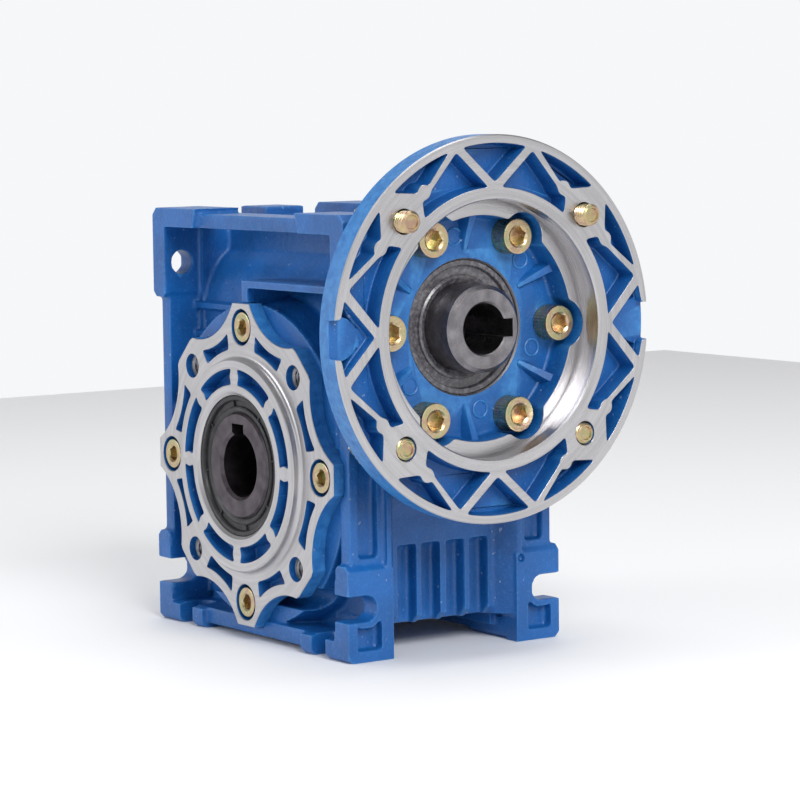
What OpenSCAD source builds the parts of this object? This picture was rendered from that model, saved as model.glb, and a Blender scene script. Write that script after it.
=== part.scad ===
// Hollow-shaft worm gear reducer: cast housing, output cover, input flange, worm set and bearings.
// Origin on the output bore axis, +X out of the input flange, -Y out of the output cover, +Z up.

/* [Gearing] */
// Distance from output axis up to worm axis
centre_distance = 40; // [38:0.5:42]
// Worm module
gear_module = 2; // [1.8:0.05:2.2]
// Teeth on the bronze wheel
wheel_teeth = 30; // [30:1:30]

/* [Housing] */
// Half length of the casting along the worm axis
body_half = 50; // [49:0.5:52]
// Height of the top pads above the output axis
body_top = 71.5; // [70:0.5:74]
// Half width across the foot pads
foot_half = 36; // [35:0.5:37]
// Radius of the round case boss behind the output cover
boss_r = 45.5; // [44:0.5:46]
// Diameter of the foot slots and rear holes
foot_hole = 7; // [6.5:0.5:8]

/* [Output] */
// Diameter of the hollow output bore
output_bore = 18; // [18:0.5:19]
// Pitch circle of the threaded face holes
face_pcd = 75; // [74:0.5:76]
// Pilot ring diameter on the output faces
face_pilot = 60; // [58:0.5:61]
// Pitch circle of the cover cap screws
cover_pcd = 78; // [77.5:0.5:78.5]

/* [Input] */
// Diameter of the hollow input bore
input_bore = 14; // [11:0.5:14.5]
// Outside diameter of the motor flange
flange_d = 105; // [104:0.5:110]
// Pitch circle of the motor bolts
flange_pcd = 85; // [84:0.5:86]
// Pilot recess diameter of the motor flange
flange_pilot = 70; // [69:0.5:71]
// Pitch circle of the six flange screws
screw_pcd = 56.4; // [56:0.2:57]

/* [Hidden] */
$fn = 96;
e = 0.02;
za = centre_distance;
face_x = 70;
star_y = 37.4;
ring_y = 40;
seat_y = 33;
pitch_r = wheel_teeth * gear_module / 2;
worm_r = centre_distance - pitch_r;
worm_tip = worm_r + gear_module;
worm_root = worm_r - 1.2 * gear_module;
lead = PI * gear_module;
flange_r = flange_d / 2;
foot_z = -35.3;
// threaded face holes: full thread radius on the near side, tap drill radius on the far side
near_tapped_r = 3;
far_tapped_r = 2.5;

blue = [0.20, 0.42, 0.72];
silver = [0.80, 0.80, 0.81];
steel = [0.45, 0.44, 0.44];
gold = [0.78, 0.68, 0.42];
black = [0.08, 0.08, 0.09];
bronze = [0.72, 0.53, 0.28];

// ---------- axis helpers ----------
module along_y(from) { translate([0, from, 0]) rotate([-90, 0, 0]) children(); }
module along_x(from, z = 0) { translate([from, 0, z]) rotate([0, 90, 0]) children(); }
module tube_y(from, to, ro, ri) {
  along_y(from) linear_extrude(to - from) difference() { circle(ro); circle(ri); }
}
module tube_x(from, to, ro, ri) {
  along_x(from, za) linear_extrude(to - from) difference() { circle(ro); circle(ri); }
}
module block(a, b) { translate(a) cube([b[0] - a[0], b[1] - a[1], b[2] - a[2]]); }
// side profile in X-Z, swept along Y between two stations
module profile_y(from, to, points) {
  translate([0, to, 0]) rotate([90, 0, 0]) linear_extrude(to - from) polygon(points);
}
module both_sides() { children(); mirror([0, 1, 0]) children(); }
module both_ends() { children(); mirror([1, 0, 0]) children(); }

// ---------- output face star, shared by cover and far side ----------
// drawn with its face towards -Y
function tip(a, r, h) = [r * cos(a) - h * sin(a), r * sin(a) + h * cos(a)];
module star_outline() {
  difference() {
    polygon([for (k = [0:3]) each [tip(90 * k, 45.7, -4.6), tip(90 * k, 45.7, 4.6),
      tip(90 * k + 45, 43.6, -4.4), tip(90 * k + 45, 43.6, 4.4)]]);
    for (k = [0:7]) rotate(45 * k + 22.5) translate([60.2, 0]) circle(21.2);
  }
}
// one of the eight pockets between the pilot ring and the rim
module outer_pocket() {
  difference() {
    polygon([[32.2, -6.3], [38.2, -7.4], [38.2, 7.4], [32.2, 6.3]]);
    circle(33);
    translate([60.2, 0]) circle(24.4);
  }
}
module ring_pocket() {
  difference() {
    intersection() {
      difference() { circle(27.5); circle(22.9); }
      polygon([[0, 0], [40, 0], [40, 40]]);
    }
    for (a = [0, 45]) rotate(a) {
      translate([20, -1.55]) square([10, 3.1]);
      translate([25.2, 0]) circle(2.2);
    }
  }
}
module output_face(tapped_r) {
  difference() {
    union() {
      along_y(-star_y) linear_extrude(star_y - seat_y) mirror([0, 1]) star_outline();
      along_y(-ring_y) cylinder(h = ring_y - seat_y, r = face_pilot / 2);
      along_y(-star_y - 1.2) cylinder(h = 1.2 + e, r1 = face_pilot / 2 - e, r2 = face_pilot / 2 + 1.2);
    }
    for (k = [0:7]) rotate([0, 45 * k + 22.5, 0])
      along_y(-star_y - 1) linear_extrude(5) outer_pocket();
    for (k = [0:7]) rotate([0, 45 * k, 0])
      along_y(-ring_y - 1) linear_extrude(5.5) ring_pocket();
    for (k = [0:3]) rotate([0, 90 * k + 45, 0]) translate([face_pcd / 2, 0, 0]) {
      along_y(-star_y - 1) cylinder(h = 14, r = tapped_r);
      along_y(-star_y - e) cylinder(h = 0.5, r1 = tapped_r + 0.45, r2 = tapped_r - 0.05);
    }
  }
}

// ---------- cast housing ----------
bar_in = 21;
bar_out = 34.3;
module frame_bars() {
  both_sides() difference() {
    profile_y(bar_in, bar_out, [[-48.5, -48.5], [48.5, -48.5], [48.5, body_top - 1.5],
      [-48.5, body_top - 1.5]]);
    profile_y(0, 50, [[-44, -44], [44, -44], [44, 66], [-44, 66]]);
  }
}
module corner_pads() {
  both_sides() both_ends() {
    profile_y(bar_in, foot_half, [[26, body_top], [27.5, 66], [43.4, 66], [43.4, 46.6],
      [44.6, 45.4], [48.5, 45.4], [body_half, 46.9], [body_half, body_top - 2],
      [body_half - 2, body_top]]);
    profile_y(bar_in, foot_half, [[26, -body_half], [26, -44.3], [42.9, -44.3], [43.6, -24.9],
      [44.6, -23.4], [48.5, -23.4], [body_half, -24.9], [body_half, -body_half]]);
  }
}
module cooling_fins() {
  both_ends() {
    for (k = [-2:2]) translate([0, 8.15 * k, 0])
      profile_y(-1, 1, [[30, -42.4], [41.6, -42.4], [44, -40], [44, 12], [30, 12]]);
    both_sides() linear_extrude_z(-42.4, 12, [[36, 16.5], [44, 17.2], [body_half, 21.4],
      [body_half, 23], [36, 23]]);
    linear_extrude_z(-42.4, 12, [[30, -20], [37.5, -20], [37.5, 20], [30, 20]]);
  }
}
module linear_extrude_z(from, to, points) {
  translate([0, 0, from]) linear_extrude(to - from) polygon(points);
}
module case_body() {
  block([-40, -23, -42.4], [40, 23, za]);
  both_ends() block([36, -bar_in - e, -20], [44, bar_in + e, 8]);
  // web that closes the space between the sump and the bottom bars
  both_sides() block([-40, 19, -46], [40, 23.5, -40]);
  along_x(-body_half + 0.4, za) cylinder(h = 2 * body_half - 2, r = 23.5);
  along_y(-seat_y) cylinder(h = 2 * seat_y, r = boss_r);
  both_sides() along_y(-seat_y + 2.5) cylinder(h = 10, r1 = boss_r, r2 = boss_r + 2.2);
  block([-44, -14.3, 50], [44, 14.3, 67.5]);
  block([-48, -6.5, 60], [-34, 6.5, 71.2]);
}
module front_seat() {
  block([42, -34, 8], [body_half, 34, 69.5]);
  along_x(42, za) cylinder(h = body_half - 42, r = 33);
  block([-48.5, -24, 14], [-42, 24, 66.5]);
}
module side_ribs() {
  both_sides() {
    block([-44, -25.5, 41.6], [-6, -20, 43.6]);
    block([-44, -25.5, 33.2], [-12, -20, 35.2]);
    block([-1.5, -foot_half, 50], [44, -18, 52.1]);
    block([-1.5, -foot_half, 45.9], [1.5, -18, 52.1]);
  }
}
module foot_slot(z) {
  translate([-60, -30, z]) rotate([0, 90, 0]) cylinder(h = 120, r = foot_hole / 2);
  block([-60, -45, z - foot_hole / 2], [60, -30, z + foot_hole / 2]);
}
module foot_cuts() {
  both_sides() {
    foot_slot(foot_z);
    both_ends() {
      translate([35, -30, -60]) cylinder(h = 20, r = foot_hole / 2);
      block([35 - foot_hole / 2, -45, -60], [35 + foot_hole / 2, -30, -40]);
      // pocket below the foot slot
      difference() {
        block([body_half - 3, -33, -46.7], [body_half + 1, -25, -39.2]);
        translate([40, -30, foot_z]) rotate([0, 90, 0]) cylinder(h = 12, r = 5.7);
      }
      // shallow groove up each column
      block([46, -31.1, -21.6], [body_half + 1, -25.2, 6]);
      // small bevels at the foot corners
      translate([30, -21, -50]) rotate([45, 0, 0]) cube([30, 2, 2], center = true);
      translate([0, -foot_half, -50]) rotate([45, 0, 0]) cube([120, 1.6, 1.6], center = true);
    }
    translate([-body_half - 1, -30, 55.5]) rotate([0, 90, 0]) cylinder(h = 12, r = foot_hole / 2);
  }
  translate([body_half - 1.4, 22.9, -26.4]) rotate([0, 90, 0]) cylinder(h = 3, r = 1.1);
}
module housing() {
  color(blue) difference() {
    union() {
      frame_bars();
      corner_pads();
      cooling_fins();
      case_body();
      front_seat();
      side_ribs();
      mirror([0, 1, 0]) output_face(far_tapped_r);
    }
    foot_cuts();
    // room for the cover's star where it meets the bars
    along_y(-seat_y - 8) scale(1.006) linear_extrude(8) mirror([0, 1]) star_outline();
    // gear chamber, open to the cover side
    along_y(-seat_y - 1) cylinder(h = seat_y + 20, r = 34);
    along_y(18) cylinder(h = 14, r = 27.5);
    along_y(30) cylinder(h = 20, r = 20);
    along_y(ring_y - 1) cylinder(h = 1 + e, r1 = 20, r2 = 21);
    // worm bore with front and rear bearing seats
    along_x(-48, za) cylinder(h = 60, r = 17);
    along_x(-46, za) cylinder(h = 16, r = 20);
    along_x(-60, za) cylinder(h = 19, r = 20);
    along_x(-45, za) cylinder(h = 1.3, r = 21);
    along_x(0, za) cylinder(h = 40, r = 17);
    along_x(34, za) cylinder(h = 20, r = 21);
    // threaded holes for cover screws and flange screws
    for (k = [0:3]) rotate([0, 90 * k, 0]) translate([cover_pcd / 2, 0, 0])
      along_y(-seat_y - 1) cylinder(h = 12, r = 2.5);
    for (k = [0:3]) rotate([0, 90 * k + 45, 0]) translate([face_pcd / 2, 0, 0])
      along_y(-seat_y - 1) cylinder(h = 6, r = 3.2);
    for (k = [0:5]) along_x(41, za) rotate(60 * k) translate([0, screw_pcd / 2, 0])
      cylinder(h = 12, r = 3.05);
  }
}

// ---------- output cover ----------
module output_cover() {
  color(silver) difference() {
    union() {
      output_face(near_tapped_r);
      along_y(-seat_y) cylinder(h = 14, r = 34);
    }
    along_y(-32) cylinder(h = 14, r = 27.5);
    along_y(-19.5) cylinder(h = 2, r = 31);
    along_y(-50) cylinder(h = 30, r = 20);
    along_y(-ring_y - e) cylinder(h = 1, r1 = 21, r2 = 20);
    // o-ring groove round the spigot
    along_y(-29) linear_extrude(2.4) difference() { circle(40); circle(32.4); }
    for (k = [0:3]) rotate([0, 90 * k, 0]) translate([cover_pcd / 2, 0, 0]) {
      along_y(-50) cylinder(h = 30, r = 2.75);
      along_y(-50) cylinder(h = 50 - 33.6, r = 5.15);
    }
  }
}
module cap_screw(head_r, head_h, shank_r, length, key_r) {
  // head underside at zero, head towards +Z
  difference() {
    union() {
      cylinder(h = head_h - 0.4, r = head_r);
      translate([0, 0, head_h - 0.4]) cylinder(h = 0.4, r1 = head_r, r2 = head_r - 0.4);
      translate([0, 0, -length]) cylinder(h = length + e, r = shank_r);
    }
    translate([0, 0, head_h / 2]) cylinder(h = head_h, r = key_r, $fn = 6);
  }
}
module cover_screws() {
  color(gold) for (k = [0:3]) rotate([0, 90 * k, 0]) translate([cover_pcd / 2, -33.6, 0])
    rotate([90, 0, 0]) cap_screw(4.25, 3.5, 2.45, 10, 2.31);
}
module cover_o_ring() {
  color(black) rotate([90, 0, 0]) translate([0, 0, 27.8]) rotate_extrude()
    translate([33.2, 0]) circle(0.8, $fn = 48);
}

// ---------- shaft seals ----------
module lip_seal(inner, outer, width) {
  // open lip side towards +Z, outer face at zero
  rotate_extrude() polygon([[inner, 1.2], [inner + 1, 0.5], [inner + 2, 0.9], [outer - 1.6, 0.9],
    [outer - 1.2, 0], [outer, 0], [outer, width], [outer - 1.2, width], [outer - 1.2, 2.4],
    [inner + 1.6, 2.4], [inner + 1.4, width - 1], [inner + 0.5, width - 1.2],
    [inner, width - 2.2]]);
}
module near_output_seal() { color(black) along_y(-39.1) lip_seal(15.02, 20, 7); }
module far_output_seal() { color(black) mirror([0, 1, 0]) near_output_seal(); }
module input_seal() { color(black) mirror([1, 0, 0]) along_x(-54.6, za) lip_seal(12.02, 18.5, 6.5); }

// ---------- output shaft and wheel ----------
module output_shaft() {
  color(steel) difference() {
    union() {
      along_y(-38.3) cylinder(h = 76.6, r = 15);
      both_sides() along_y(-39) cylinder(h = 0.7 + e, r1 = 14.5, r2 = 15);
      along_y(-18.8) cylinder(h = 37.6, r = 18);
      along_y(-9) cylinder(h = 18, r = 22);
    }
    along_y(-40) cylinder(h = 80, r = output_bore / 2);
    both_sides() along_y(-39 - e) cylinder(h = 0.9, r1 = output_bore / 2 + 0.9, r2 = output_bore / 2);
    block([-3, -40, 0], [3, 40, 20.8 - output_bore / 2]);
  }
}
// half angle of a wheel tooth at a given radius, thinned for running backlash
function inv(a) = tan(a) * 180 / PI - a;
base_r = pitch_r * cos(20);
tooth_play = 0.42;
function half_tooth(r) = 90 / wheel_teeth - tooth_play / pitch_r * 90 / PI
  + inv(20) - inv(acos(min(1, base_r / r)));
radii = [27.9, 28.6, 29.4, 30.2, 31, 31.9];
function tooth_points(c) = concat(
  [for (k = [0:5]) let (a = c - half_tooth(radii[k])) radii[k] * [cos(a), sin(a)]],
  [for (k = [0:5]) let (a = c + half_tooth(radii[5 - k])) radii[5 - k] * [cos(a), sin(a)]]);
module worm_wheel() {
  color(bronze) difference() {
    along_y(-6) linear_extrude(12, twist = -2.29, slices = 3)
      rotate(90 + 180 / wheel_teeth - 1.145)
        polygon([for (t = [0:wheel_teeth - 1]) each tooth_points(360 / wheel_teeth * t)]);
    along_y(-8) cylinder(h = 16, r = 22);
  }
}

// ---------- deep-groove ball bearings, axis along Z from zero ----------
// each size is [bore radius, outside radius, width, ball radius, ball count]
function row_r(b) = (b[0] + b[1]) / 2;
module race_groove(b) { translate([row_r(b), b[2] / 2]) circle(b[3] + 0.03, $fn = 64); }
module outer_race(b) {
  inside = row_r(b) + 0.5 * b[3];
  rotate_extrude() difference() {
    translate([inside, 0]) square([b[1] - inside, b[2]]);
    race_groove(b);
  }
}
module inner_race(b) {
  rotate_extrude() difference() {
    translate([b[0], 0]) square([row_r(b) - 0.5 * b[3] - b[0], b[2]]);
    race_groove(b);
  }
}
module round_balls(b) {
  for (k = [0:b[4] - 1]) rotate(360 / b[4] * k) translate([row_r(b), 0, b[2] / 2]) children();
}
module race_balls(b) { round_balls(b) sphere(b[3], $fn = 32); }
module ball_cage(b) {
  difference() {
    translate([0, 0, b[2] / 2 - b[3] - 1.2]) linear_extrude(2 * b[3] + 2.4) difference() {
      circle(row_r(b) + 0.34 * b[3]);
      circle(row_r(b) - 0.34 * b[3]);
    }
    round_balls(b) rotate([0, 90, 0]) translate([0, 0, -b[3]])
      cylinder(h = 2 * b[3], r = b[3] + 0.08);
  }
}
out_b = [15, 27.5, 13, 3.6, 11];
front_b = [12.5, 21, 9, 2.4, 12];
rear_b = [8.5, 20, 12, 3.2, 8];
module near_bearing_outer() { color(silver) along_y(-31.9) outer_race(out_b); }
module near_bearing_inner() { color(silver) along_y(-31.9) inner_race(out_b); }
module near_bearing_balls() { color(silver) along_y(-31.9) race_balls(out_b); }
module near_bearing_cage() { color(bronze) along_y(-31.9) ball_cage(out_b); }
module far_bearing_outer() { color(silver) along_y(18.9) outer_race(out_b); }
module far_bearing_inner() { color(silver) along_y(18.9) inner_race(out_b); }
module far_bearing_balls() { color(silver) along_y(18.9) race_balls(out_b); }
module far_bearing_cage() { color(bronze) along_y(18.9) ball_cage(out_b); }
module front_bearing_outer() { color(silver) along_x(34, za) outer_race(front_b); }
module front_bearing_inner() { color(silver) along_x(34, za) inner_race(front_b); }
module front_bearing_balls() { color(silver) along_x(34, za) race_balls(front_b); }
module front_bearing_cage() { color(bronze) along_x(34, za) ball_cage(front_b); }
module rear_bearing_outer() { color(silver) along_x(-42.9, za) outer_race(rear_b); }
module rear_bearing_inner() { color(silver) along_x(-42.9, za) inner_race(rear_b); }
module rear_bearing_balls() { color(silver) along_x(-42.9, za) race_balls(rear_b); }
module rear_bearing_cage() { color(bronze) along_x(-42.9, za) ball_cage(rear_b); }

// ---------- worm shaft ----------
// axial thread height at a fraction of one pitch, straight flanks at 20 degrees
thread_half = lead / 4 - 0.10;
function thread_r(u) = let (d = abs(u * lead) - thread_half)
  min(worm_tip, max(worm_root, worm_r - d / tan(20)));
steps = 24;
module worm_thread() {
  turns = 3.5;
  along_x(-turns * lead / 2, za)
    linear_extrude(turns * lead, twist = -360 * turns, slices = turns * steps, segments = steps)
    rotate(-180 * turns) polygon([for (k = [0:steps - 1]) let (a = 360 / steps * k)
      thread_r((a > 180 ? a - 360 : a) / 360) * [cos(a), sin(a)]]);
}
module worm_shaft() {
  color(steel) difference() {
    union() {
      along_x(-43.5, za) cylinder(h = 13.5, r = 8.5);
      along_x(-30.8, za) cylinder(h = 12, r = 11);
      along_x(-20, za) cylinder(h = 40, r = worm_root + 0.02);
      worm_thread();
      along_x(18.5, za) cylinder(h = 13.6, r = 12.4);
      along_x(31, za) cylinder(h = 3, r = 14.5);
      along_x(33.9, za) cylinder(h = 9.2, r = 12.5);
      along_x(43, za) cylinder(h = 20.6, r = 12);
      along_x(63.6, za) cylinder(h = 1.2, r1 = 12, r2 = 10.8);
    }
    along_x(31, za) cylinder(h = 40, r = input_bore / 2);
    along_x(64.2, za) cylinder(h = 1, r1 = input_bore / 2 - 0.1, r2 = input_bore / 2 + 0.9);
    block([34, 0, za - 2.5], [70, 16.3 - input_bore / 2, za + 2.5]);
  }
}

// ---------- rear end fittings ----------
module rear_snap_ring() {
  color(steel) difference() {
    tube_x(-44.9, -43.8, 20.9, 17.4);
    block([-46, -3, za - 25], [-43, 3, za - 10]);
  }
}
module rear_end_cap() {
  color(black) difference() {
    along_x(-49.2, za) cylinder(h = 4.2, r = 20);
    along_x(-47.8, za) cylinder(h = 4, r = 17.2);
  }
}

// ---------- input flange ----------
// polar corner on the flange face, angle measured from the ribs' mirror line
function pol(r, a) = [r * cos(a), r * sin(a)];
module bolt_pad() { translate(pol(44.2, 13.2)) circle(2.1); }
module flange_pocket_set() {
  // an inner pocket and a sliver at the rim, on both sides of each bolt
  for (m = [0, 1]) mirror([0, m]) {
    difference() {
      polygon([pol(38.4, 41.8), pol(49.5, 30.1), pol(43, 14.4), pol(42.4, 10.6), pol(38.4, 7.8),
        pol(36, 25)]);
      circle(38.4);
      bolt_pad();
    }
    difference() {
      polygon([pol(50.2, 27.4), pol(54, 15), pol(50.2, 3.6), pol(45.4, 10.3), pol(44.7, 15.1)]);
      difference() { circle(60); circle(50.2); }
      bolt_pad();
    }
  }
}
module flange_triangle() {
  intersection() {
    polygon([pol(39.7, 0), pol(50.2, 12.2), pol(54, 13), pol(54, -13), pol(50.2, -12.2)]);
    circle(50.2);
  }
}
// raised tongue inside the two triangles that open through the rim
module notch_tongue() {
  polygon([[41.8, 0], [46, 4.4], [46, 5.2], [54, 5.2], [54, -5.2], [46, -5.2], [46, -4.4]]);
}
module flange_blank() {
  along_x(62, za) cylinder(h = 8, r = flange_r);
  along_x(54, za) cylinder(h = 8 + e, r = 39);
  along_x(50.3, za) cylinder(h = 4, r = 31.2);
  along_x(43.1, za) cylinder(h = 8, r = 20.95);
}
module input_flange() {
  color(silver) difference() {
    flange_blank();
    along_x(63.3, za) cylinder(h = 10, r = flange_pilot / 2);
    // relief groove at the foot of the pilot wall
    along_x(63.3, za) cylinder(h = 1.9, r = flange_pilot / 2 + 0.6);
    along_x(55.4, za) cylinder(h = 10, r = 30.7);
    along_x(47.9, za) cylinder(h = 10, r = 18.5);
    along_x(40, za) cylinder(h = 10, r = 13.5);
    for (k = [0:5]) along_x(0, za) rotate(60 * k) translate([0, screw_pcd / 2, 0]) {
      translate([0, 0, 40]) cylinder(h = 30, r = 3.3);
      translate([0, 0, 55.4]) cylinder(h = 7.9, r = 6.7);
    }
    for (k = [0:3]) along_x(63.8, za) rotate(90 * k + 45) {
      linear_extrude(10) flange_pocket_set();
      translate([flange_pcd / 2, 0, -5]) cylinder(h = 20, r = 3.3);
      translate([flange_pcd / 2, 0, -12]) cylinder(h = 62 - 63.8 + 12, r = 6.3);
    }
    for (k = [0, 2]) along_x(63.8, za) rotate(90 * k) linear_extrude(10) flange_triangle();
    for (k = [1, 3]) along_x(0, za) rotate(90 * k) {
      translate([0, 0, 63.8]) linear_extrude(10) difference() { flange_triangle(); notch_tongue(); }
      translate([0, 0, 67]) linear_extrude(10) notch_tongue();
    }
  }
  // short ribs on the hub floor
  color(silver) for (k = [0:5]) along_x(55.2, za) rotate(60 * k) {
    translate([20.5, -1, 0]) cube([9, 2, 3.2]);
  }
}
module flange_gasket() {
  color(black) difference() {
    tube_x(50, 50.3, 31.2, 24);
    for (k = [0:5]) along_x(49, za) rotate(60 * k) translate([0, screw_pcd / 2, 0])
      cylinder(h = 3, r = 3.3);
  }
}
module flange_screws() {
  color(gold) for (k = [0:5]) along_x(0, za) rotate(60 * k) translate([0, screw_pcd / 2, 55.4])
    cap_screw(4.9, 5.9, 3, 12, 2.89);
}
module motor_bolt(seat) {
  // head, relieved shank, thread standing out of the face, pointed end
  translate([0, 0, seat - 4]) cylinder(h = 4, r = 5.77, $fn = 6);
  translate([0, 0, seat - e]) cylinder(h = 12.4, r = 2.6);
  translate([0, 0, seat + 12.3]) cylinder(h = 3.1, r = 3);
  translate([0, 0, seat + 15.4]) cylinder(h = 0.6, r1 = 3, r2 = 2.4);
}
module motor_bolts() {
  color(gold) {
    for (s = [-1, 1]) along_x(0, za) translate([-30.05, 30.05 * s, 0]) motor_bolt(57.8);
    for (s = [-1, 1]) along_x(0, za) translate([30.05, 30.05 * s, 0]) motor_bolt(54.3);
  }
}

housing();
output_cover();
cover_screws();
cover_o_ring();
near_output_seal();
far_output_seal();
output_shaft();
worm_wheel();
near_bearing_outer();
near_bearing_inner();
near_bearing_balls();
near_bearing_cage();
far_bearing_outer();
far_bearing_inner();
far_bearing_balls();
far_bearing_cage();
worm_shaft();
front_bearing_outer();
front_bearing_inner();
front_bearing_balls();
front_bearing_cage();
rear_bearing_outer();
rear_bearing_inner();
rear_bearing_balls();
rear_bearing_cage();
rear_snap_ring();
rear_end_cap();
input_flange();
input_seal();
flange_gasket();
flange_screws();
motor_bolts();
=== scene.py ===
"""Looks of the hollow-shaft worm gear reducer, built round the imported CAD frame.

Row frame: origin at the centre of the output bore, +X out of the motor flange, -Y out of the
output cover, +Z up. Shapes are drawn in millimetres and scaled to metres when they are placed.
"""
import math

import bmesh
import bpy
import numpy as np
from mathutils import Matrix, Vector


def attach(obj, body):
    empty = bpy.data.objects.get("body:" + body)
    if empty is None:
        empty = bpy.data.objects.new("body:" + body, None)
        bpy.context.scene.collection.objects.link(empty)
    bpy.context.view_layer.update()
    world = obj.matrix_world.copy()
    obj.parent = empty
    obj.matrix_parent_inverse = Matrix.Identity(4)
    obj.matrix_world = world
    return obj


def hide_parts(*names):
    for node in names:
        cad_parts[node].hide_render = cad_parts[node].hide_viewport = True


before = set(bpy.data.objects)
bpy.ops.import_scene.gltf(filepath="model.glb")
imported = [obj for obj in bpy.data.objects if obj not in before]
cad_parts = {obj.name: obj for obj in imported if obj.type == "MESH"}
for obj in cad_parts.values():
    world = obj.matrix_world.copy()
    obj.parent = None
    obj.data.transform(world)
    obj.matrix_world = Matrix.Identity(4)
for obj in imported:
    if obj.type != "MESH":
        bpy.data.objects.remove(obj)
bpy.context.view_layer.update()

MM = 0.001
WORM_Z = 40.0

# Local frames for drawing: u to the right and v up as seen from outside, n out of the face.
FACES = {
    "near": ((1, 0, 0), (0, 0, 1), (0, -1, 0), (0, 0, 0)),
    "far": ((-1, 0, 0), (0, 0, 1), (0, 1, 0), (0, 0, 0)),
    "front": ((0, 1, 0), (0, 0, 1), (1, 0, 0), (0, 0, WORM_Z)),
    "rear": ((0, -1, 0), (0, 0, 1), (-1, 0, 0), (0, 0, WORM_Z)),
    "world": ((1, 0, 0), (0, 1, 0), (0, 0, 1), (0, 0, 0)),
}


# ---------------------------------------------------------------- meshes

def new_object(name, verts, faces):
    mesh = bpy.data.meshes.new(name)
    mesh.from_pydata([tuple(v) for v in verts], [], faces)
    mesh.update()
    obj = bpy.data.objects.new(name, mesh)
    bpy.context.scene.collection.objects.link(obj)
    fix_normals(obj)
    return obj


def fix_normals(obj):
    bm = bmesh.new()
    bm.from_mesh(obj.data)
    bmesh.ops.remove_doubles(bm, verts=bm.verts, dist=1e-4)
    bmesh.ops.recalc_face_normals(bm, faces=bm.faces)
    bm.to_mesh(obj.data)
    bm.free()


def drop(obj):
    bpy.data.objects.remove(obj, do_unlink=True)


def with_modifier(obj, kind, **settings):
    """Adds one modifier and applies it to the mesh."""
    modifier = obj.modifiers.new(kind, kind)
    for key, value in settings.items():
        setattr(modifier, key, value)
    depsgraph = bpy.context.evaluated_depsgraph_get()
    mesh = bpy.data.meshes.new_from_object(obj.evaluated_get(depsgraph))
    obj.modifiers.clear()
    obj.data = mesh
    return obj


def combine(base, other, operation):
    with_modifier(base, "BOOLEAN", solver="MANIFOLD", operation=operation, object=other)
    drop(other)
    return base


def cut(base, cutters):
    for cutter in cutters:
        combine(base, cutter, "DIFFERENCE")
    return base


def unite(base, others):
    for other in others:
        combine(base, other, "UNION")
    return base


def coated(obj, material):
    """One material over the whole piece."""
    obj.data.materials.clear()
    obj.data.materials.append(material)
    obj.data.polygons.foreach_set("material_index", [0] * len(obj.data.polygons))
    return obj


def join(name, objects):
    """One object from several, each keeping its materials."""
    verts, faces, slots, materials = [], [], [], []
    for obj in objects:
        first = len(verts)
        table = []
        for material in obj.data.materials:
            if material not in materials:
                materials.append(material)
            table.append(materials.index(material))
        verts += [tuple(v.co) for v in obj.data.vertices]
        for polygon in obj.data.polygons:
            faces.append([first + i for i in polygon.vertices])
            slots.append(table[polygon.material_index] if table else 0)
        drop(obj)
    mesh = bpy.data.meshes.new(name)
    mesh.from_pydata(verts, [], faces)
    for material in materials:
        mesh.materials.append(material)
    mesh.polygons.foreach_set("material_index", slots)
    mesh.update()
    obj = bpy.data.objects.new(name, mesh)
    bpy.context.scene.collection.objects.link(obj)
    return obj


def lathe(profile, steps=180):
    """A closed (radius, n) profile turned round the n axis."""
    verts, rings = [], []
    for r, n in profile:
        first = len(verts)
        if r < 1e-6:
            verts.append((0, 0, n))
            rings.append([first] * steps)
        else:
            turn = np.linspace(0, 2 * math.pi, steps, endpoint=False)
            verts += [(r * math.cos(t), r * math.sin(t), n) for t in turn]
            rings.append(list(range(first, first + steps)))
    faces = []
    for i, ring in enumerate(rings):
        after = rings[(i + 1) % len(rings)]
        for k in range(steps):
            corners = [ring[k], ring[(k + 1) % steps], after[(k + 1) % steps], after[k]]
            corners = list(dict.fromkeys(corners))
            if len(corners) > 2:
                faces.append(corners)
    return new_object("turned", verts, faces)


def loft(levels):
    """A closed solid through stacked (outline, n) levels of equal point count."""
    count = len(levels[0][0])
    verts, faces = [], []
    for outline, n in levels:
        verts += [(u, v, n) for u, v in outline]
    for level in range(len(levels) - 1):
        a, b = level * count, (level + 1) * count
        for k in range(count):
            j = (k + 1) % count
            faces.append([a + k, a + j, b + j, b + k])
    faces.append(list(range(count)))
    faces.append(list(range((len(levels) - 1) * count, len(levels) * count)))
    return new_object("lofted", verts, faces)


def grid_tube(radii, heights, inner=None):
    """A closed tube: radii[i][k] at height i and turn k, with a plain inner or outer wall if given."""
    steps = len(radii[0])
    turn = np.linspace(0, 2 * math.pi, steps, endpoint=False)
    verts, faces = [], []
    for ring, n in zip(radii, heights):
        verts += [(r * math.cos(t), r * math.sin(t), n) for r, t in zip(ring, turn)]
    for i in range(len(heights) - 1):
        for k in range(steps):
            j = (k + 1) % steps
            faces.append([i * steps + k, i * steps + j, (i + 1) * steps + j, (i + 1) * steps + k])
    last = (len(heights) - 1) * steps
    if inner is None:
        faces.append(list(range(steps)))
        faces.append(list(range(last, last + steps)))
        return new_object("tube", verts, faces)
    base = len(verts)
    for n in (heights[0], heights[-1]):
        verts += [(inner * math.cos(t), inner * math.sin(t), n) for t in turn]
    for k in range(steps):
        j = (k + 1) % steps
        faces.append([base + k, base + j, base + steps + j, base + steps + k])
        faces.append([k, j, base + j, base + k])
        faces.append([last + k, last + j, base + steps + j, base + steps + k])
    return new_object("tube", verts, faces)


# ---------------------------------------------------------------- outlines

def polar(r, degrees):
    return (r * math.cos(math.radians(degrees)), r * math.sin(math.radians(degrees)))


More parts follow.
